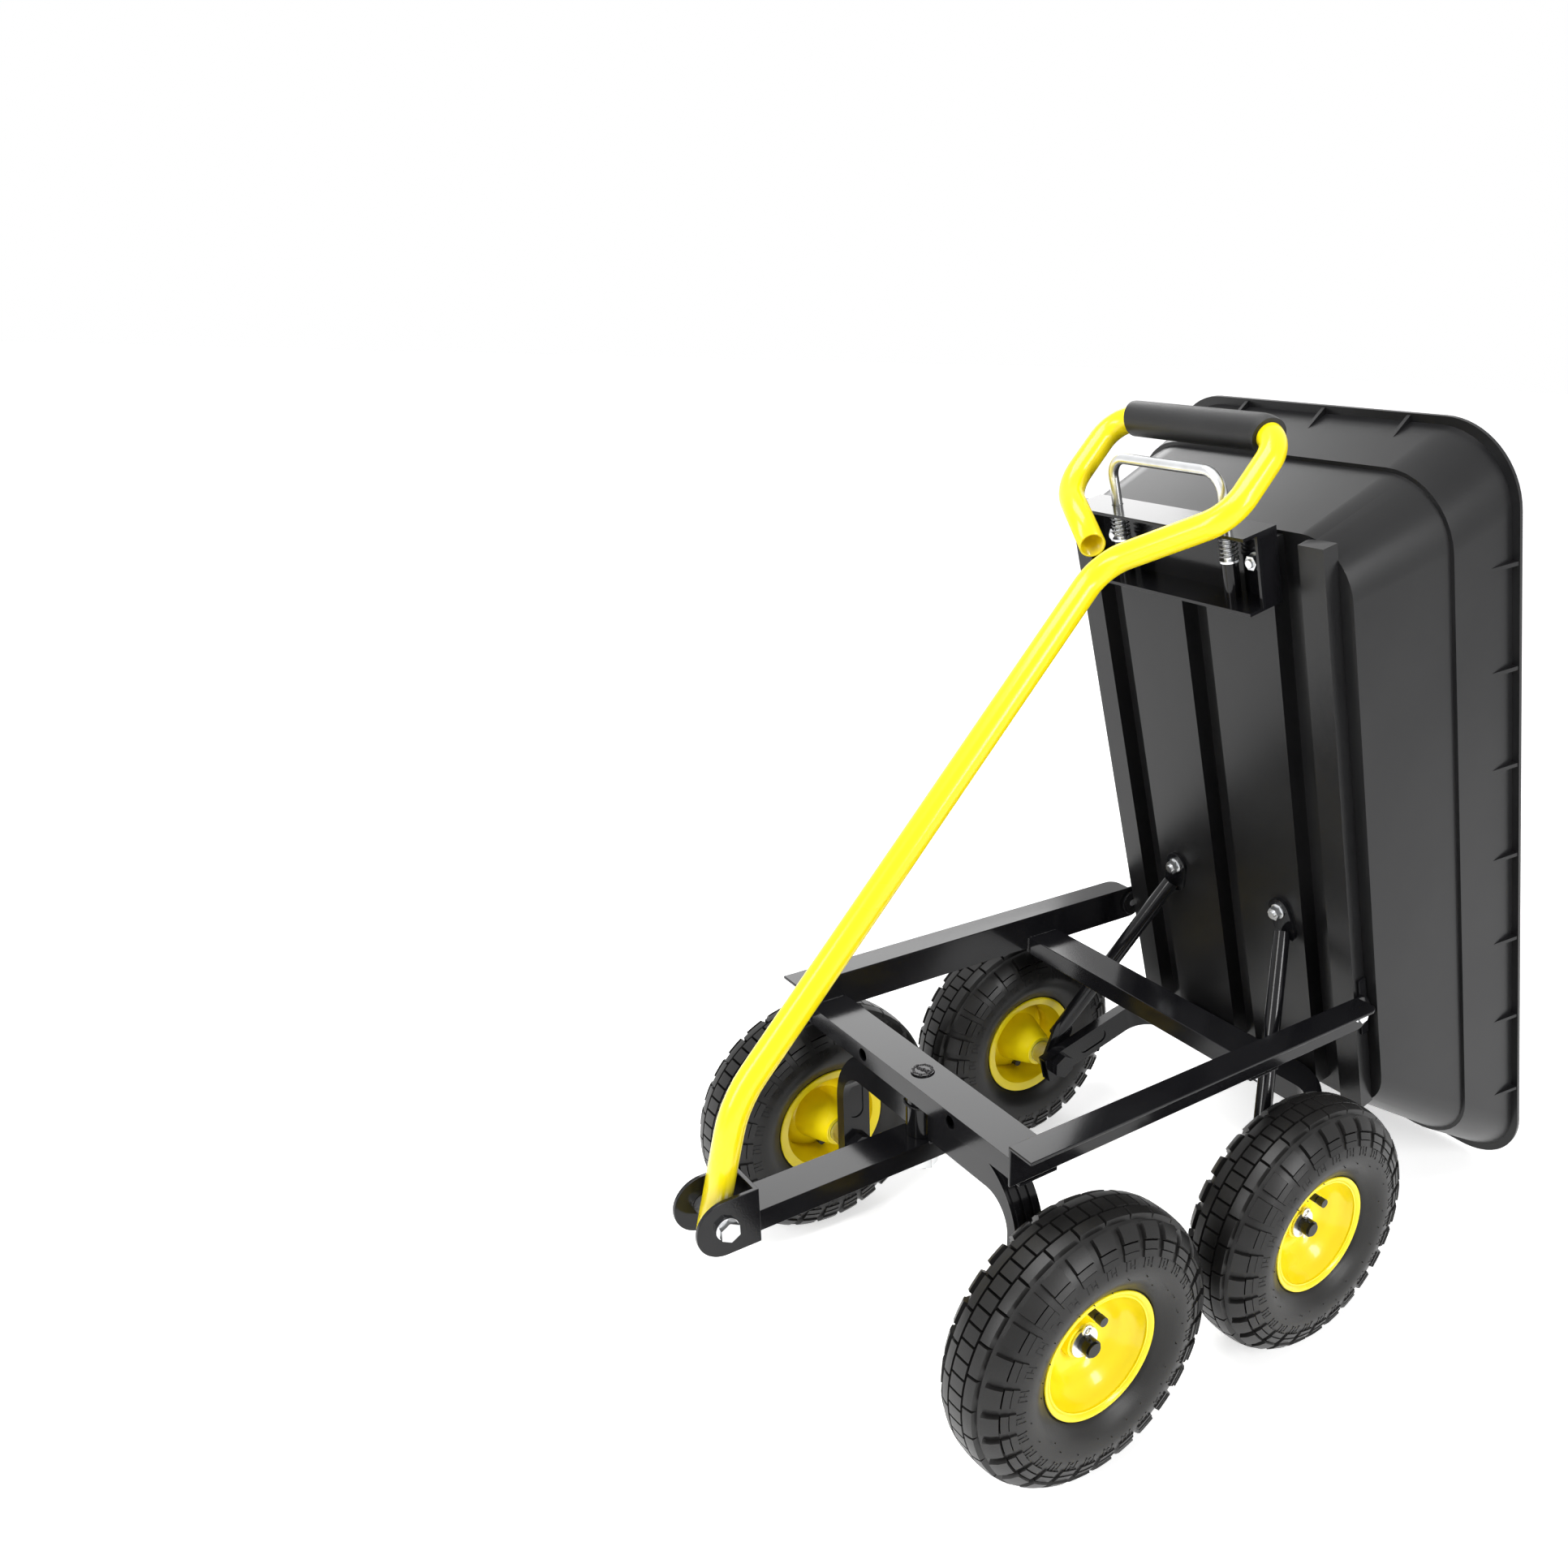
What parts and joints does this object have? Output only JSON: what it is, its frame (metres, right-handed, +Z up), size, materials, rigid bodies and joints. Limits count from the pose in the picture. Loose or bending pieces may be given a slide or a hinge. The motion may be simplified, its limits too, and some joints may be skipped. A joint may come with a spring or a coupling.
{
  "type": "tipping dump cart",
  "caption": "Tipping garden dump cart with a moulded tray, a black steel frame, treaded tyres on yellow rims and a swinging yellow pull handle.",
  "frame": {"origin": "on the ground, under the middle of the whole cart", "axes": "+X to the cart's left, -Y the way it is pulled, +Z up"},
  "size_m": [0.54, 0.929, 0.8713],
  "materials": {
    "black_steel": "gloss",
    "zinc_steel": "satin",
    "yellow_paint": "gloss",
    "foam_grip": "matte",
    "tray_plastic": "satin",
    "tyre_rubber": "matte",
    "black_nylon": "satin"
  },
  "bodies": {
    "frame": {"left_rail": "black_steel", "right_rail": "black_steel", "front_crossmember": "black_steel", "mid_crossmember": "black_steel", "kingpin": "black_steel", "kingpin_nut": "zinc_steel"},
    "front_axle": {"front_arch": "black_steel", "kingpin_boss": "black_steel", "tongue": "black_steel", "handle_clevis": "black_steel", "handle_pivot_bolt": "zinc_steel", "front_spindles": "black_steel", "front_spacers": "zinc_steel", "front_washers": "zinc_steel", "front_cotters": "zinc_steel"},
    "handle": {"handle_tube": "yellow_paint", "handle_bush": "zinc_steel", "handle_grip": "foam_grip"},
    "tray_unit": {"tray": "tray_plastic", "rear_arch": "black_steel", "rear_arch_bolts": "zinc_steel", "left_strut": "black_steel", "right_strut": "black_steel", "strut_bolts": "zinc_steel", "hinge_brackets": "black_steel", "hinge_bolts": "zinc_steel", "rear_spindles": "black_steel", "rear_spacers": "zinc_steel", "rear_washers": "zinc_steel", "rear_cotters": "zinc_steel", "latch_bracket": "black_steel", "latch_guides": "black_steel", "latch_bolts": "zinc_steel"},
    "latch": {"latch_bail": "zinc_steel", "latch_collars": "zinc_steel", "latch_springs": "zinc_steel"},
    "front_left_wheel": {"front_left_tyre": "tyre_rubber", "front_left_rim": "yellow_paint", "front_left_bushes": "black_nylon", "front_left_valve": "black_nylon"},
    "front_right_wheel": {"front_right_tyre": "tyre_rubber", "front_right_rim": "yellow_paint", "front_right_bushes": "black_nylon", "front_right_valve": "black_nylon"},
    "rear_left_wheel": {"rear_left_tyre": "tyre_rubber", "rear_left_rim": "yellow_paint", "rear_left_bushes": "black_nylon", "rear_left_valve": "black_nylon"},
    "rear_right_wheel": {"rear_right_tyre": "tyre_rubber", "rear_right_rim": "yellow_paint", "rear_right_bushes": "black_nylon", "rear_right_valve": "black_nylon"}
  },
  "joints": [
    {"name": "steer", "type": "hinge", "parent": "frame", "child": "front_axle", "pos_m": [0, -0.23052, 0.24], "axis": [0, 0, 1], "range_deg": [-2.2, 2.2]},
    {"name": "tray_tip", "type": "hinge", "parent": "frame", "child": "tray_unit", "pos_m": [0, 0.17948, 0.288], "axis": [1, 0, 0], "range_deg": [0, 76]},
    {"name": "handle_swing", "type": "hinge", "parent": "front_axle", "child": "handle", "pos_m": [0, -0.43852, 0.219], "axis": [1, 0, 0], "range_deg": [0, 108]},
    {"name": "latch_pull", "type": "slide", "parent": "tray_unit", "child": "latch", "axis": [0, -0.2419, 0.9703], "range_m": [0, 0.012], "stiffness_N_per_m": 400, "springref_m": -0.01, "deforming": ["latch_springs"]},
    {"name": "front_left_spin", "type": "hinge", "parent": "front_axle", "child": "front_left_wheel", "pos_m": [0.2215, -0.22052, 0.127], "axis": [1, 0, 0], "continuous": true},
    {"name": "front_right_spin", "type": "hinge", "parent": "front_axle", "child": "front_right_wheel", "pos_m": [-0.2215, -0.22052, 0.127], "axis": [1, 0, 0], "continuous": true},
    {"name": "rear_left_spin", "type": "hinge", "parent": "tray_unit", "child": "rear_left_wheel", "pos_m": [0.227, 0.04948, 0.127], "axis": [1, 0, 0], "continuous": true},
    {"name": "rear_right_spin", "type": "hinge", "parent": "tray_unit", "child": "rear_right_wheel", "pos_m": [-0.227, 0.04948, 0.127], "axis": [1, 0, 0], "continuous": true}
  ],
  "couplings": [
    {"joint": "handle_swing", "follows": "tray_tip", "ratio": 1.42}
  ]
}
